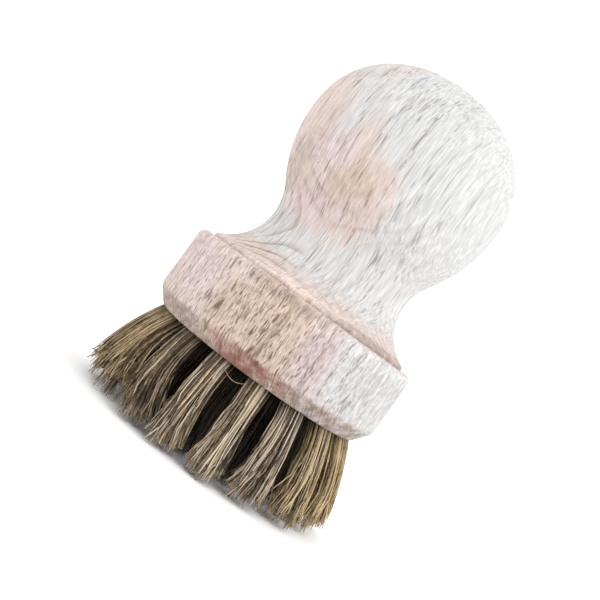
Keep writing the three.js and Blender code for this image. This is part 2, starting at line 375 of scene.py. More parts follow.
class BeechShading(Shading):
    """Bare sanded beech of the turned body. Places are in millimetres: x to the right, y to the
    back, and rise up from the rim land. The grain is measured from the pith, the tree's middle."""

    def __init__(self, body, face_height):
        super().__init__("bare_beech")
        self.body = body
        self.rim_height = (face_height + body.head_height) / MM
        self.place = self.millimetres()
        self.grain = self.mapped(self.place, location=(0, -PITH_DISTANCE, 0), rotation=(0, 0, PITH_TURN))
        self.x, self.y, z = self.node("ShaderNodeSeparateXYZ", {0: self.place}).outputs
        self.rise = self.math("SUBTRACT", z, self.rim_height)
        self.on_head = self.fade(self.rise, 4, -2)
        self.bark_side = self.facing_bark()
        self.streaks = self.noise(self.grain, (0.4, 1.2, 9), detail=3.0, roughness=0.6)
        self.soak = self.fade(self.noise(self.place, (2.0, 2.0, 1.5), detail=4.0, roughness=0.66), 0.32, 0.68)
        self.blots = self.ragged(self.place, (3.0, 3.0, 1.6), 4.0, 2.4)

    def facing_bark(self):
        """1 where the surface is cut along the year rings, as at the front, and 0 where it is cut
        across them and the rays lie flat in it."""
        around = self.vector("NORMALIZE", self.vector("MULTIPLY", self.place, (1, 1, 0)))
        to_pith = (math.sin(PITH_TURN), math.cos(PITH_TURN), 0)
        return self.fade(self.math("ABSOLUTE", self.vector("DOT_PRODUCT", around, to_pith)), 0.05, 0.65)

    def side_mark(self, mark, ragged, softness=0.35):
        """Mask of one ragged mark on the side of the head, or of the knob if it is above the rim."""
        edge = 0.8  # where the mask is at half, as a share of the mark's half width
        degrees, height, width, tall = mark
        body = self.body
        radius = (body.knob_diameter if height > self.rim_height else body.head_diameter) / 2 / MM
        angle = math.radians(degrees)
        centre = Vector((radius * math.sin(angle), -radius * math.cos(angle), height))
        away = self.vector("SUBTRACT", self.place, centre)
        reach = self.vector("LENGTH", self.mapped(away, scale=(2 / width, 1 / (1.5 * width), 2 / tall)))
        return self.fade(self.math("ADD", reach, ragged), edge + softness, edge - softness)

    def side_marks(self, marks, ragged, softness=0.35):
        """Mask of several ragged marks."""
        mask = 0.0
        for mark in marks:
            mask = self.math("MAXIMUM", self.side_mark(mark, ragged, softness), mask)
        return mask

    def heartwood(self):
        """How warm the wood is: 0 for sapwood, half for pink heartwood and 1 for the tan patches."""
        patchy = self.ragged(self.place, (6, 6, 9), 3.0, 1.2)
        feathered = self.ragged(self.place, (0.8, 0.8, 9), 2.0, 1.2)
        ragged = self.math("ADD", patchy, feathered)
        knob = self.side_marks(KNOB_HEART, ragged, 0.75)
        knob_tan = self.side_mark(KNOB_TAN, ragged, 0.6)
        head_tan = self.side_mark(HEAD_TAN, ragged, 0.5)
        mild = self.times(self.math("MAXIMUM", self.heart_side(ragged), knob), 0.5)
        mild = self.between(self.pink_cove(ragged), mild, 0.42)
        head_tan = self.times(head_tan, self.fade(self.rise, 3, 0))
        return self.math("MAXIMUM", self.plus(mild, knob_tan, 0.42), head_tan)

    def heart_side(self, ragged):
        """Heart side of the blank, at the left and below, with grey sapwood in the neck and at the
        right of the head."""
        clouds = self.noise(self.place, (14, 14, 18), detail=3.0)
        past_edge = self.fade(self.plus(self.x, ragged, 3.0), 9.5, 13.5)
        warmth = self.math("MULTIPLY_ADD", self.x, -0.016, 0.1)
        warmth = self.plus(warmth, clouds, 0.8)
        warmth = self.plus(warmth, self.fade(self.rise, 9, -1), 0.42)
        warmth = self.plus(warmth, self.fade(self.off(self.rise, NECK_RISE), 8, 3), -0.52)
        warmth = self.plus(warmth, self.times(past_edge, self.fade(self.rise, 1.5, 0.3)), -0.45)
        return self.fade(warmth, 0.55, 0.9)

    def pink_cove(self, ragged):
        """Ragged band of pink wood in the cove, weaker at the back."""
        off_cove = self.off(self.plus(self.rise, ragged, 3.5), PINK_RISE)
        front = self.between(self.fade(self.y, 12, -6), 0.3, 0.9)
        return self.times(self.fade(off_cove, 5, 1), front, self.fade(self.rise, -0.8, 0.2))

    def tinted(self, heart):
        """Plain wood in its own colours, without lines or flecks, with painted light on the right of the
        handle.
        """
        body = self.body
        wood = self.mix(self.fade(self.rise, 11, 1), body.pale_wood, body.grey_wood)
        wood = self.mix(self.fade(heart, 0.0, 0.5), wood, body.pink_wood)
        wood = self.mix(self.fade(heart, 0.5, 1.0), wood, body.tan_wood)
        edges = self.ragged(self.place, (1.5, 1.5, 5), 3.0, 1.6)
        flush = self.side_marks(MAUVE_FLUSHES, edges, 0.6)
        wood = self.mix(self.times(flush, 0.85), wood, body.mauve_wood)
        # Painted light: the wood is made up to 8% lighter on the right of the neck and knob, towards the key
        # light
        lit_right_side = self.times(self.fade(self.x, 2, 14), self.fade(self.rise, 2, 10))
        dark_streak = self.side_mark(HEAD_STREAK, edges, 0.5)
        dark_streak = self.times(dark_streak, self.fade(self.rise, 0.5, -1))
        tone = self.times(
            self.between(self.fade(self.streaks, 0.25, 0.75), 0.88, 1.08),
            self.between(lit_right_side, 1.0, 1.08),
            self.between(dark_streak, 1.0, 0.83),
            self.grit(),
        )
        return self.scaled(wood, tone)

    def grit(self):
        """Fine light and dark grains, drawn out on the handle, and short and stronger on the head."""
        long_grains = self.noise(self.grain, (0.3, 1.2, 3.4))
        short_grains = self.noise(self.grain, (0.35, 1.2, 1.3))
        grains = self.fade(self.between(self.on_head, long_grains, short_grains), 0.3, 0.7)
        darkest = self.between(self.on_head, 0.88, 0.85)
        lightest = self.between(self.on_head, 1.08, 1.16)
        return self.between(grains, darkest, lightest)

    def ring_lines(self):
        """Dark late wood at the end of each year's growth, patchy along the grain."""
        sockets = {
            "Vector": self.grain,
            "Scale": WAVE_PERIOD * MM / self.body.ring_spacing,
            "Distortion": 2.4,
            "Detail": 2.0,
            "Detail Scale": 0.55,
        }
        settings = {"wave_type": "RINGS", "rings_direction": "Z", "wave_profile": "SAW"}
        year = self.node("ShaderNodeTexWave", sockets, **settings).outputs["Fac"]
        line = self.times(self.fade(year, 0.54, 0.95), self.fade(year, 1.0, 0.95))
        strength = self.fade(self.noise(self.grain, (9, 9, 22)), 0.32, 0.75)
        return self.times(line, self.between(strength, 0.15, 1.0))

    def ring_depth(self, heart):
        """How dark the year rings are: darkest at the left, and faint at the front of the handle and
        where the knob is cut along them."""
        off_widest = self.off(self.rise, self.body.knob_widest_height / MM)
        flat_cut = self.times(self.fade(off_widest, 15, 5), self.bark_side)
        front = self.fade(self.y, 4, -6)
        neck_left = self.times(front, self.fade(self.x, -5, -14), self.fade(self.rise, 29, 19))
        neck_left = self.times(neck_left, self.fade(self.rise, -1, 2))
        plain_front = self.times(front, self.fade(self.x, -10, -2), self.fade(self.rise, 1, 7))
        return self.times(
            self.between(heart, 0.45, 0.95),
            self.between(self.fade(self.rise, 46, 19), 0.3, 0.8),
            self.between(flat_cut, 1.0, 0.1),
            self.between(neck_left, 1.0, 2.3),
            self.between(plain_front, 1.0, 0.4),
        )

    def soaked_chamfer(self):
        """Where grease and water have soaked the head's lower edge, in blotches."""
        top = (self.body.chamfer_height - self.body.head_height) / MM
        return self.times(self.fade(self.rise, top + 0.4, top - 0.7), self.between(self.soak, 0.12, 0.95))

    def stained(self, wood, soaked, knob_left_shade):
        """Wood with a soaked chamfer, the red stain across it, and painted shade on the left of the knob."""
        body = self.body
        blush = self.side_mark(STAIN_BLUSH, self.blots, 0.5)
        stain = self.side_mark(GRILL_STAIN, self.blots)
        stain = self.times(stain, self.between(self.soak, 0.32, 0.84))
        wood = self.mix(soaked, wood, body.soak_and_shade_wood)
        wood = self.mix(self.times(blush, 0.5), wood, body.stain_blush)
        wood = self.mix(stain, wood, body.grill_stain)
        # Painted shade on the left of the knob, in the colour of soaked wood
        return self.mix(self.times(knob_left_shade, 0.36), wood, body.soak_and_shade_wood)

    def rim_highlight_and_shade(self, wood):
        """Wood with a painted highlight on the rim's rounded edge, a band of painted shade on the rim's
        front, painted light on the step above it in the middle, and painted shade in the crease at the right."""
        soak_and_shade_wood = self.body.soak_and_shade_wood
        # Painted shade: a darker band across the front of the rim, where the rim's painted highlight is also
        # left out
        rim_front_shade = self.side_mark(RIM_FRONT_SHADE, self.blots, 0.6)
        right = self.fade(self.x, -2, 12)
        # The painted highlight and the painted light below are weaker at the left
        wear = self.between(self.fade(self.x, -8, -16), 1.0, 0.35)
        # Painted highlight on the top of the head's side and its rounded rim edge
        rim = self.times(self.fade(self.rise, -4.5, -1.5), self.fade(self.rise, 0, -0.5), wear)
        rim = self.times(rim, self.between(rim_front_shade, 1.0, 0.0))
        # Painted light on the step and the foot of the cove, away from the right, lifting the shade of the
        # corner
        step = self.times(self.fade(self.rise, -0.4, 0), self.fade(self.rise, 2.5, 1.2), wear)
        step = self.times(step, self.between(right, 1.0, 0.0))
        wood = self.mix(self.times(rim_front_shade, 0.48), wood, soak_and_shade_wood)
        wood = self.scaled(wood, self.times(self.between(rim, 1.0, 1.14), self.between(step, 1.0, 1.22)))
        # Painted shade in the crease at the top of the step, strongest at the right, and faintly low in the
        # cove, in blotches
        step_top = self.fade(self.plus(self.rise, right, -0.9), 1.0, 0.5)
        soaked = self.times(self.fade(self.rise, -0.3, 0), step_top, self.between(right, 0.15, 1.2))
        soaked = self.plus(soaked, self.fade(self.rise, 4, 0), 0.11)
        return self.mix(self.times(soaked, self.between(self.soak, 0.15, 0.6)), wood, soak_and_shade_wood)

    def dashes(self, width, tall):
        """Dark edges of the wood's rays: dashes strung in columns along the grain, closer together
        on the head. A ray is a thin ribbon that runs on towards the pith."""
        deep = 9 * width
        column = self.noise(self.grain, (4 * width, 2 * deep, 26))
        column = self.fade(self.plus(column, self.on_head, 0.14), 0.46, 0.72)
        strand = self.noise(self.grain, (width, deep, tall), detail=1.0)
        return self.times(column, self.fade(self.plus(strand, self.on_head, -0.035), 0.51, 0.62))

    def flecks(self):
        """Ray flecks, long and fine on the handle and short on the head."""
        long_flecks = self.math("MAXIMUM", self.dashes(0.2, 2.8), self.dashes(0.28, 4.4))
        short_flecks = self.math("MAXIMUM", self.dashes(0.22, 1.6), self.dashes(0.34, 2.4))
        return self.between(self.on_head, long_flecks, short_flecks)

    def fleck_depth(self, heart, soaked, knob_left_shade):
        """How dark the ray flecks are: darkest in warm wood and in the painted shade on the knob's left, and
        faint in the cove, as painted light towards the right and the top, and where the rays lie flat."""
        warm = self.times(self.math("POWER", heart, 1.6), self.between(self.on_head, 0.6, 1.0))
        cove = self.fade(self.off(self.rise, COVE_RISE), 5, 1)
        # Painted light: the flecks fade towards the right and the top, where the key light washes them out
        sapwood = self.fade(self.plus(self.x, self.rise, 0.35), 11.35, 25.35)
        return self.times(
            self.between(warm, self.between(self.on_head, 0.62, 0.56), 0.82),
            self.between(soaked, 1.0, 0.8),
            self.between(knob_left_shade, 1.0, 1.45),
            self.between(cove, 1.0, 0.6),
            self.between(sapwood, 1.0, 0.5),
            self.between(self.bark_side, 0.08, 1.0),
        )


def beech_material(body, face_height):
    """Bare sanded beech: pale, with ring lines, dark ray flecks, stains from use, and painted light and shade
    on the handle and about the rim.
    """
    look = BeechShading(body, face_height)
    heart = look.heartwood()
    soaked = look.soaked_chamfer()
    knob_left_shade = look.side_mark(KNOB_LEFT_SHADE, look.blots, 0.7)
    flecks = look.flecks()
    marks = look.side_marks(HEAD_MARKS, look.ragged(look.place, (0.9, 0.9, 1.3), 3.0, 1.6))

    wood = look.tinted(heart)
    wood = look.mix(look.times(look.ring_lines(), look.ring_depth(heart)), wood, body.ring_line)
    wood = look.rim_highlight_and_shade(look.stained(wood, soaked, knob_left_shade))
    fleck = look.mix(heart, body.ray_fleck, body.warm_fleck)
    wood = look.mix(look.times(flecks, look.fleck_depth(heart, soaked, knob_left_shade)), wood, fleck)
    wood = look.mix(look.times(marks, 0.85), wood, body.warm_fleck)

    relief = look.noise(look.grain, (0.12, 0.12, 0.5), detail=1.0)
    relief = look.plus(relief, look.streaks, 0.5)
    relief = look.plus(relief, flecks, -1.0)
    relief = look.plus(relief, marks, -1.5)
    return look.finish(
        Base_Color=wood,
        Roughness=look.between(look.streaks, 0.52, 0.74),
        Specular_IOR_Level=0.3,
        Normal=look.bump(relief, 0.12 * MM, 0.55),
    )


def fibre_material(name, filling, shade):
    """Plant fibre, each strand with its own tone. A shade under 1 darkens every colour as painted shade."""
    look = Shading(name)
    run = look.attribute("fibre_run")
    place = look.millimetres()
    dark, brown, tan, pale = [
        [shade * part for part in stock]
        for stock in (filling.dark_fibre, filling.brown_fibre, filling.tan_fibre, filling.pale_fibre)
    ]
    mottle = look.noise(place, (0.5, 0.5, 1.4))
    tone = look.math("ADD", look.attribute("fibre_tone"), look.math("MULTIPLY_ADD", mottle, 0.84, -0.42))
    fibre = look.mix(look.fade(tone, 0.0, 0.35), dark, brown)
    fibre = look.mix(look.fade(tone, 0.25, 0.65), fibre, tan)
    fibre = look.mix(look.fade(tone, 0.6, 1.0), fibre, pale)
    straw = look.mix(1.0, fibre, filling.straw_tint, "MULTIPLY")
    fibre = look.mix(look.fade(look.attribute("fibre_hue"), 0.1, 0.9), fibre, straw)
    # Painted shade: every fibre is darker towards its root, under the head
    root = look.fade(run, 0.25, 0.0)
    fibre = look.mix(look.times(root, 0.4), fibre, dark)
    cut = look.fade(run, 0.9, 1.0)
    fibre = look.mix(look.times(cut, 0.35), fibre, filling.tan_fibre)
    ridges = look.noise(place, (0.08, 0.08, 1.4), detail=1.0)
    return look.finish(
        Base_Color=fibre,
        Roughness=look.between(mottle, 0.45, 0.75),
        Specular_IOR_Level=0.35,
        Normal=look.bump(ridges, 0.03 * MM, 0.5),
    )


def wire_material(filling):
    """Drawn steel wire, with fine lines along it."""
    look = Shading("drawn_wire")
    drawn = look.noise(look.millimetres(), (0.1, 0.1, 1.5), detail=3.0)
    tone = look.mix(look.fade(drawn, 0.3, 0.7), [0.75 * c for c in filling.wire_steel], filling.wire_steel)
    return look.finish(
        Base_Color=tone,
        Metallic=1.0,
        Roughness=look.between(drawn, 0.28, 0.5),
        Normal=look.bump(drawn, 0.02 * MM, 0.4),
    )


def floor_material(stage):
    """Plain pale studio floor."""
    look = Shading("studio_floor")
    clouds = look.noise(look.millimetres(), (40, 40, 40))
    tone = look.mix(clouds, [0.985 * c for c in stage.floor], stage.floor)
    return look.finish(Base_Color=tone, Roughness=0.9, Specular_IOR_Level=0.1)


# Turned body

SPIN_STEPS = 128  # round the axis
RIM_STEPS = 8  # steps of each curve of the profile, from the rim up to the crown
COVE_STEPS = 24
HOLLOW_STEPS = 10
SWELL_STEPS = 20
CROWN_STEPS = 30
HOLE_SIDES = 24
SHARP_ANGLE = math.radians(35)  # between faces, past which an edge stays sharp
NEAR = 0.001 * MM  # points closer than this are the same


def arc(centre_r, centre_z, radius, start, end, steps):
    """Points of an arc in the profile, as distances from the axis and heights."""
    angles = [start + (end - start) * step / steps for step in range(steps + 1)]
    return [(centre_r + radius * math.cos(a), centre_z + radius * math.sin(a)) for a in angles]


def cove_points(body, rim_z, step_radius):
    """Cove from the top of the step up to the narrowest point of the neck."""
    neck = body.neck_diameter / 2
    across = step_radius - neck
    down = body.neck_height - body.step_height
    radius = (across**2 + down**2) / (2 * across)
    start = math.pi + math.atan2(down, radius - across)
    return arc(neck + radius, rim_z + body.neck_height, radius, start, math.pi, COVE_STEPS)


def ogee_points(body, rim_z):
    """Reverse curve from the neck to the widest point of the knob, as two arcs."""
    neck = body.neck_diameter / 2
    knob = body.knob_diameter / 2
    rise = body.knob_widest_height - body.neck_height
    swell = knob - neck
    both_radii = (swell**2 + rise**2) / (2 * swell)
    hollow = both_radii * (body.turnover_height - body.neck_height) / rise
    full = both_radii - hollow
    sweep = math.asin(rise / both_radii)
    neck_z = rim_z + body.neck_height
    widest_z = rim_z + body.knob_widest_height
    lower = arc(neck + hollow, neck_z, hollow, math.pi, math.pi - sweep, HOLLOW_STEPS)
    upper = arc(knob - full, widest_z, full, -sweep, 0, SWELL_STEPS)
    return lower[1:] + upper[1:]


def crown_points(body, rim_z):
    """Crown of the knob, from its widest point to the top on the axis."""
    knob = body.knob_diameter / 2
    widest_z = rim_z + body.knob_widest_height
    height = body.knob_top - widest_z
    power = 2 / body.crown_fullness
    angles = [math.pi / 2 * step / CROWN_STEPS for step in range(1, CROWN_STEPS)]
    curve = [(knob * math.cos(a) ** power, widest_z + height * math.sin(a) ** power) for a in angles]
    return [*curve, (0.0, body.knob_top)]


def body_profile(body, face_z):
    """Outline of the turning, from the middle of the working face to the top of the knob, and
    how far sanding has eased its corners."""
    head = body.head_diameter / 2
    rim_z = face_z + body.head_height
    step_radius = head - body.rim_round - body.rim_land
    face_edge = (head - body.chamfer_width, face_z)
    side_foot = (head, face_z + body.chamfer_height)
    cove = cove_points(body, rim_z, step_radius)
    rim = arc(head - body.rim_round, rim_z - body.rim_round, body.rim_round, 0, math.pi / 2, RIM_STEPS)
    outline = [(0.0, face_z), face_edge, side_foot, *rim, (step_radius, rim_z), *cove]
    outline += ogee_points(body, rim_z) + crown_points(body, rim_z)
    return outline, {face_edge: body.edge_ease, side_foot: body.arris_ease, cove[0]: body.edge_ease}


def is_on(vert, ring):
    """True if a vertex lies on a ring, given as a distance from the axis and a height."""
    return abs(math.hypot(vert.co.x, vert.co.y) - ring[0]) < NEAR and abs(vert.co.z - ring[1]) < NEAR


def turned_blank(body, face_z):
    """The turning before it is drilled."""
    outline, corners = body_profile(body, face_z)
    bm = bmesh.new()
    verts = [bm.verts.new((r, 0, z)) for r, z in outline]
    edges = [bm.edges.new(pair) for pair in zip(verts, verts[1:])]
    bmesh.ops.spin(
        bm,
        geom=verts + edges,
        axis=(0, 0, 1),
        cent=(0, 0, 0),
        angle=2 * math.pi,
        steps=SPIN_STEPS,
        use_merge=True,
    )
    bmesh.ops.remove_doubles(bm, verts=bm.verts, dist=NEAR)
    bmesh.ops.recalc_face_normals(bm, faces=bm.faces)
    for corner, ease in corners.items():
        loop = [e for e in bm.edges if all(is_on(v, corner) for v in e.verts)]
        bmesh.ops.bevel(
            bm,
            geom=loop,
            offset=ease,
            offset_type="OFFSET",
            affect="EDGES",
            segments=3,
            profile=0.5,
            material=-1,
        )
    face = [f for f in bm.faces if all(abs(v.co.z - face_z) < NEAR for v in f.verts)]
    bmesh.ops.dissolve_faces(bm, faces=face)
    return bm


def drill_bits(filling):
    """One blind hole for each tuft, run on below the working face."""
    bm = bmesh.new()
    run_out = filling.hole_diameter
    depth = filling.hole_depth + run_out
    for tuft in tufts(filling):
        bmesh.ops.create_cone(
            bm,
            cap_ends=True,
            segments=HOLE_SIDES,
            radius1=filling.hole_diameter / 2,
            radius2=filling.hole_diameter / 2,
            depth=depth,
            matrix=tuft.mouth @ Matrix.Translation((0, 0, depth / 2 - run_out)),
        )
    return bm


# Tufts

Tuft = namedtuple("Tuft", "ring number radius lean spoke mouth")

# How use has set a tuft: how far its tips are pushed away from the axis and round it, how much
# higher its outermost fibres end, how far it is worn down and how far it bows outwards, in
# millimetres, then its share of the usual spread, how pale it is and how straw-coloured
Habit = namedtuple("Habit", "out side slant wear bow spread pale straw")
FRONT_HABITS = {
    1: Habit(0.3, -0.2, 0.0, 0.0, 1.2, 0.66, 0.03, 0.25),
    2: Habit(-0.4, -0.9, 0.5, 0.8, 1.6, 0.9, 0.04, 0.3),
    3: Habit(0.0, -0.3, 1.2, 0.6, 2.2, 0.87, 0.09, 0.8),
    4: Habit(0.0, 0.0, 3.2, 0.6, 2.4, 1.0, 0.38, 0.85),
    14: Habit(0.0, 0.8, 3.0, 2.8, 2.4, 1.12, 0.0, 0.8),
    15: Habit(-1.2, 2.9, 1.2, 0.9, 1.6, 1.1, -0.27, 0.35),
    16: Habit(-0.6, 1.5, 0.2, 0.4, 1.2, 0.74, 0.1, 0.3),
}
OUTER_HABIT = Habit(0.0, 0.0, 3.2, 0.6, 2.4, 1.0, 0.0, 0.6)
INNER_HABIT = Habit(0.0, 0.0, 0.6, 0.3, 0.6, 1.0, 0.0, 0.5)

# How the tips of a tuft end, with lengths in millimetres
CLUMPS = 11  # that the tips gather in
CLUMP_PULL = 0.45  # share of the way from a fibre's own spot to its clump
TIP_ROUND = 2.2  # how much shorter a tuft is at its sides than in the middle
TIP_WEAR = (0.0, 3.6, 0.6)  # least, most and commonest loss of a fibre
UNWORN_SHARE = 0.07  # fibres that have kept nearly all their length
UNWORN_SPREAD = 0.3
STRAY_SHARE = 0.1  # fibres whose tips stand well away from their clump
STRAY_SPREAD = 1.0
CLUMP_SPREAD = 0.36
TIP_OUT = 0.3  # the most that either spread moves a tip outwards

# How single fibres differ
CRIMP = 0.38  # reach of the crimp, in millimetres
CRIMP_TURNS = (1.5, 4.0)  # half turns of the crimp's wave along the free part
WIDTHS = (0.6, 1.5)  # shares of the mean width
KNOTS = (0.88, 1.12)  # shares of the fibre's own width along it
TIP_TAPER = 0.6
FOLD_SLIP = 0.1  # between a fibre's two ends, as a share of the bundle's radius
TONES = (-0.1, 1.1)
HUE_SPREAD = 0.18

FREE_STEPS = 6  # along the free part of a fibre
FOLD_ANGLES = (0.0, 90.0, 180.0)  # degrees round the staple
FIBRE_LAYERS = ("fibre_tone", "fibre_hue", "fibre_run")
FIBRE_SIDES = 4
FIBRE_RINGS = 2 * (FREE_STEPS + 1) + len(FOLD_ANGLES)

# A pale fibre that has worked loose from outer tuft 16 and bows across to the next: its two ends
# and the point that it bends towards, in millimetres
LOOSE_FIBRE = ((-7.2, -21.6, 20.9), (-2.65, -25.1, 16.05), (0.9, -22.2, 21.0))
LOOSE_TUFT = ("outer", 16)
LOOSE_TONE = 1.2
LOOSE_THINNESS = 0.22  # its radius as a share of the mean width


def tufts(filling):
    """Every tuft's place. In a tuft's own frame the working face is at zero, +Z runs up its hole
    and +X points away from the brush's axis. Every other ring is turned by half its spacing."""
    places = []
    for ring, name in enumerate(RING_NAMES):
        count = sum(node.startswith(f"{name}_tuft_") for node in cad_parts)
        rings_in = len(RING_NAMES) - 1 - ring
        radius = filling.outer_ring_radius - rings_in * filling.ring_pitch
        lean = filling.outer_lean * radius / filling.outer_ring_radius
        stagger = rings_in % 2 / 2
        seat = Matrix.Translation((radius, 0, filling.trim_height)) @ Matrix.Rotation(-lean, 4, "Y")
        for i in range(count):
            spoke = Matrix.Rotation(filling.first_tuft_angle + 2 * math.pi * (i + stagger) / count, 4, "Z")
            places.append(Tuft(name, i + 1, radius, lean, spoke, spoke @ seat))
    return places


def fibre_rod():
    """A straight rod, one unit between its rings, that every fibre is bent from."""
    bm = bmesh.new()
    bmesh.ops.create_circle(bm, cap_ends=True, segments=FIBRE_SIDES, radius=1.0)
    bm.faces.ensure_lookup_table()
    end = bm.faces[0]
    for _ in range(FIBRE_RINGS - 1):
        grown = bmesh.ops.extrude_face_region(bm, geom=[end])["geom"]
        end = next(item for item in grown if isinstance(item, bmesh.types.BMFace))
        bmesh.ops.translate(bm, verts=end.verts, vec=(0, 0, 1))
    bmesh.ops.recalc_face_normals(bm, faces=bm.faces)
    for face in bm.faces:
        face.smooth = True
    return mesh_from("fibre_rod", bm)


def spot_in_disc(rng):
    """A random spot in a unit disc."""
    reach = math.sqrt(rng.random())
    angle = rng.uniform(-math.pi, math.pi)
    return Vector((reach * math.cos(angle), reach * math.sin(angle)))


def quadratic(start, guide, end, share):
    """A point of the curve from start to end that bends towards a guide."""
    return start * (1 - share) ** 2 + guide * (2 * share * (1 - share)) + end * share**2


def fibre_tip(rng, filling, tuft, habit, spot):
    """Where a fibre is trimmed, for its spot in the spread of the tips."""
    short = habit.slant * max(0.0, spot.x) ** 1.5 + TIP_ROUND * spot.y**2
    if rng.random() < UNWORN_SHARE:
        short += abs(rng.gauss(0, UNWORN_SPREAD))
    else:
        short += habit.wear + rng.triangular(*TIP_WEAR)
    short *= MM
    centre = tuft.radius + (filling.trim_height - short) * math.tan(tuft.lean)
    out = centre + habit.out * MM + spot.x * habit.spread * filling.tip_depth / 2
    side = habit.side * MM + spot.y * habit.spread * filling.tip_width / 2
    stray = STRAY_SPREAD if rng.random() < STRAY_SHARE else CLUMP_SPREAD
    out += min(rng.gauss(0, stray), TIP_OUT) * MM
    side += rng.gauss(0, stray) * MM
    return tuft.spoke @ Vector((out, side, short))


def free_end(rng, filling, tuft, habit, clumps, spot):
    """Points of a fibre from its trimmed tip up to the mouth of the hole."""
    bundle = filling.bundle_diameter / 2
    mouth = tuft.mouth @ Vector((bundle * spot.x, bundle * spot.y, 0))
    clump = min(clumps, key=lambda centre: (centre - spot).length)
    tip = fibre_tip(rng, filling, tuft, habit, spot.lerp(clump, CLUMP_PULL))
    along = tuft.mouth.to_3x3() @ Vector((0, 0, -1))
    bow = tuft.spoke @ Vector((habit.bow * MM, 0, 0))
    guide = mouth + along * ((tip - mouth).length / 2) + bow
    wave = Vector((rng.gauss(0, 1), rng.gauss(0, 1), 0)) * CRIMP * MM
    turns = rng.uniform(*CRIMP_TURNS) * math.pi
    phase = rng.uniform(0, 2 * math.pi)
    points = []
    for step in range(FREE_STEPS + 1):
        share = 1 - step / FREE_STEPS
        crimp = wave * (share * math.sin(turns * share + phase))
        points.append(quadratic(mouth, guide, tip, share) + crimp)
    return points


def fold_points(filling, tuft, spot, radius):
    """Points of a fibre inside its hole, over the crown of the staple."""
    wire = filling.wire_size / 2 + radius
    out = wire + abs(spot.x) * (filling.bundle_diameter / 2 - wire)
    side = spot.y * (filling.hole_diameter / 2 - filling.wire_size)
    rise = wire + abs(spot.x) * (filling.hole_depth - filling.crown_depth - wire - 2 * radius)
    points = []
    for degrees in FOLD_ANGLES:
        angle = math.radians(degrees)
        height = filling.crown_depth + rise * math.sin(angle)
        points.append(tuft.mouth @ Vector((out * math.cos(angle), side, height)))
    return points


def bend_fibre(bm, rod, points, radii, runs, tone, hue):
    """Add a copy of the rod, bent through a fibre's points."""
    tone_layer, hue_layer, run_layer = [bm.verts.layers.float[name] for name in FIBRE_LAYERS]
    start = len(bm.verts)
    bm.from_mesh(rod)
    bm.verts.ensure_lookup_table()
    last = len(points) - 1
    sections = []
    for k, point in enumerate(points):
        heading = (points[min(k + 1, last)] - points[max(k - 1, 0)]).normalized()
        side = sections[-1][1] if sections else heading.orthogonal()
        side = (side - heading * side.dot(heading)).normalized()
        sections.append((point, side, heading.cross(side), radii[k], runs[k]))
    for vert in bm.verts[start:]:
        point, side, up, radius, run = sections[round(vert.co.z)]
        vert.co = point + (side * vert.co.x + up * vert.co.y) * radius
        vert[tone_layer] = tone
        vert[hue_layer] = hue
        vert[run_layer] = run


def add_loose_fibre(bm, rod, filling):
    """Add the pale fibre that has worked loose."""
    start, guide, end = [MM * Vector(point) for point in LOOSE_FIBRE]
    points = [quadratic(start, guide, end, k / (FIBRE_RINGS - 1)) for k in range(FIBRE_RINGS)]
    radii = [LOOSE_THINNESS * filling.fibre_width] * FIBRE_RINGS
    bend_fibre(bm, rod, points, radii, [1.0] * FIBRE_RINGS, LOOSE_TONE, 0.0)


def tuft_mesh(filling, tuft, rod):
    """A bundle of fibres, folded over its staple, with both ends trimmed."""
    rng = random.Random(f"{tuft.ring} {tuft.number}")
    habit = FRONT_HABITS.get(tuft.number, OUTER_HABIT) if tuft.ring == "outer" else INNER_HABIT
    clumps = [spot_in_disc(rng) for _ in range(CLUMPS)]
    bm = bmesh.new()
    for name in FIBRE_LAYERS:
        bm.verts.layers.float.new(name)
    runs = [1 - step / FREE_STEPS for step in range(FREE_STEPS + 1)]
    runs = runs + [0.0] * len(FOLD_ANGLES) + runs[::-1]
    for _ in range(filling.fibres):
        spot = spot_in_disc(rng)
        spot.x = abs(spot.x)
        other = Vector((-spot.x, spot.y + rng.gauss(0, FOLD_SLIP)))
        radius = filling.fibre_width / 2 * rng.uniform(*WIDTHS)
        first = free_end(rng, filling, tuft, habit, clumps, spot)
        second = free_end(rng, filling, tuft, habit, clumps, other)
        points = first + fold_points(filling, tuft, spot, radius) + second[::-1]
        radii = [radius * rng.uniform(*KNOTS) for _ in points]
        radii[0] *= TIP_TAPER
        radii[-1] *= TIP_TAPER
        tone = rng.uniform(*TONES) + habit.pale
        hue = rng.gauss(habit.straw, HUE_SPREAD)
        bend_fibre(bm, rod, points, radii, runs, tone, hue)
    if (tuft.ring, tuft.number) == LOOSE_TUFT:
        add_loose_fibre(bm, rod, filling)
    return bm


# Operators

KEY_PLACE = (0.56, -0.56, 0.7)  # that the soft light shines from
FLOOR_REACH = 6.0  # from the middle of the floor to its edge
CLIP_START = 0.01  # nearest that the camera sees


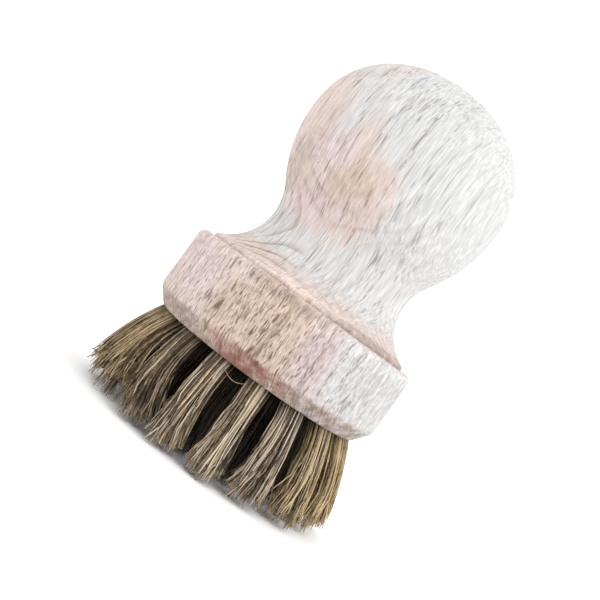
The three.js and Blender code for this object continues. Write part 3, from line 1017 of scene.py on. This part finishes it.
class FIBRE_BRUSH_OT_stage(bpy.types.Operator):
    """Set up the camera, the soft light and the pale floor"""

    bl_idname = "fibre_brush.stage"
    bl_label = "Stage"

    def execute(self, context):
        stage = context.scene.fibre_brush_stage
        self.add_camera(context, stage)
        self.add_light(context, stage)
        self.add_floor(stage)
        context.scene.view_settings.view_transform = "Standard"
        return {"FINISHED"}

    def add_camera(self, context, stage):
        data = bpy.data.cameras.new("camera")
        data.lens = stage.lens
        data.clip_start = CLIP_START
        camera = placed("camera", data)
        roll = stage.camera_roll
        right = Vector((math.cos(roll), 0, math.sin(roll)))
        up = Vector((-math.sin(roll), 0, math.cos(roll)))
        back = Vector((0, -1, 0))
        camera.matrix_world = Matrix((right, up, back)).transposed().to_4x4()
        camera.location = (stage.camera_side, -stage.camera_distance, stage.camera_height)
        context.scene.camera = camera

    def add_light(self, context, stage):
        world = bpy.data.worlds.new("soft_sky")
        world.use_nodes = True
        sky = world.node_tree.nodes["Background"]
        sky.inputs["Color"].default_value = opaque(stage.sky)
        sky.inputs["Strength"].default_value = stage.sky_strength
        context.scene.world = world
        data = bpy.data.lights.new("key_light", "SUN")
        data.energy = stage.key_strength
        data.angle = stage.key_spread
        key = placed("key_light", data)
        key.location = KEY_PLACE
        key.rotation_euler = key.location.to_track_quat("Z", "Y").to_euler()

    def add_floor(self, stage):
        bm = bmesh.new()
        bmesh.ops.create_grid(bm, x_segments=1, y_segments=1, size=FLOOR_REACH)
        mesh = mesh_from("floor", bm)
        mesh.materials.append(floor_material(stage))
        floor = placed("floor", mesh)


class FIBRE_BRUSH_OT_turned_body(bpy.types.Operator):
    """Turn the beech body and drill a blind hole for each tuft"""

    bl_idname = "fibre_brush.turned_body"
    bl_label = "Turned Body"

    def execute(self, context):
        body = context.scene.fibre_brush_body
        filling = context.scene.fibre_brush_filling
        blank = turned_blank(body, filling.trim_height)
        material = beech_material(body, filling.trim_height)
        piece = piece_from("turned_body", blank, material, "beech", "beech_body")
        cut_away(piece, drill_bits(filling))
        if not piece.data.polygons:
            raise RuntimeError("drilling left nothing of the turned body")
        piece.data.shade_smooth()
        piece.data.set_sharp_from_angle(angle=SHARP_ANGLE)
        return {"FINISHED"}


class FIBRE_BRUSH_OT_tufts(bpy.types.Operator):
    """Bind a tuft of folded fibres into each hole"""

    bl_idname = "fibre_brush.tufts"
    bl_label = "Tufts"

    def execute(self, context):
        filling = context.scene.fibre_brush_filling
        rod = fibre_rod()
        # The inner and middle tufts get the same fibre, darkened as painted shade
        inner = fibre_material("inner_fibre_painted_shade", filling, filling.inner_shade)
        outer = fibre_material("outer_fibre", filling, 1.0)
        fibre_by_ring = {"inner": inner, "middle": inner, "outer": outer}
        for tuft in tufts(filling):
            name = f"{tuft.ring}_fibres_{tuft.number:02d}"
            bound = f"{tuft.ring}_tuft_{tuft.number:02d}"
            free = f"{tuft.ring}_strands"
            mesh = tuft_mesh(filling, tuft, rod)
            piece_from(name, mesh, fibre_by_ring[tuft.ring], "free_fibre", bound, free)
        bpy.data.meshes.remove(rod)
        return {"FINISHED"}


class FIBRE_BRUSH_OT_staples(bpy.types.Operator):
    """Finish the wire staples in drawn steel"""

    bl_idname = "fibre_brush.staples"
    bl_label = "Staples"

    def execute(self, context):
        steel = wire_material(context.scene.fibre_brush_filling)
        for name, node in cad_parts.items():
            if "_staple_" in name:
                node.material_slots[0].material = steel
        return {"FINISHED"}


class FIBRE_BRUSH_PT_sidebar(bpy.types.Panel):
    """Steps that dress the brush, in order"""

    bl_idname = "FIBRE_BRUSH_PT_sidebar"
    bl_label = "Fibre Brush"
    bl_space_type = "VIEW_3D"
    bl_region_type = "UI"
    bl_category = "Fibre Brush"

    def draw(self, context):
        for step in STEPS:
            self.layout.operator(step.bl_idname)


STEPS = (
    FIBRE_BRUSH_OT_stage,
    FIBRE_BRUSH_OT_turned_body,
    FIBRE_BRUSH_OT_tufts,
    FIBRE_BRUSH_OT_staples,
)
SETTINGS = {
    "fibre_brush_body": TurnedBodySettings,
    "fibre_brush_filling": FillingSettings,
    "fibre_brush_stage": StageSettings,
}


def register():
    for group in (*SETTINGS.values(), *STEPS, FIBRE_BRUSH_PT_sidebar):
        bpy.utils.register_class(group)
    for name, group in SETTINGS.items():
        setattr(bpy.types.Scene, name, PointerProperty(type=group))


def unregister():
    for name in SETTINGS:
        delattr(bpy.types.Scene, name)
    for group in (FIBRE_BRUSH_PT_sidebar, *reversed(STEPS), *SETTINGS.values()):
        bpy.utils.unregister_class(group)


def main():
    register()
    bpy.ops.fibre_brush.stage()
    bpy.ops.fibre_brush.turned_body()
    bpy.ops.fibre_brush.tufts()
    bpy.ops.fibre_brush.staples()


if __name__ == "__main__":
    main()
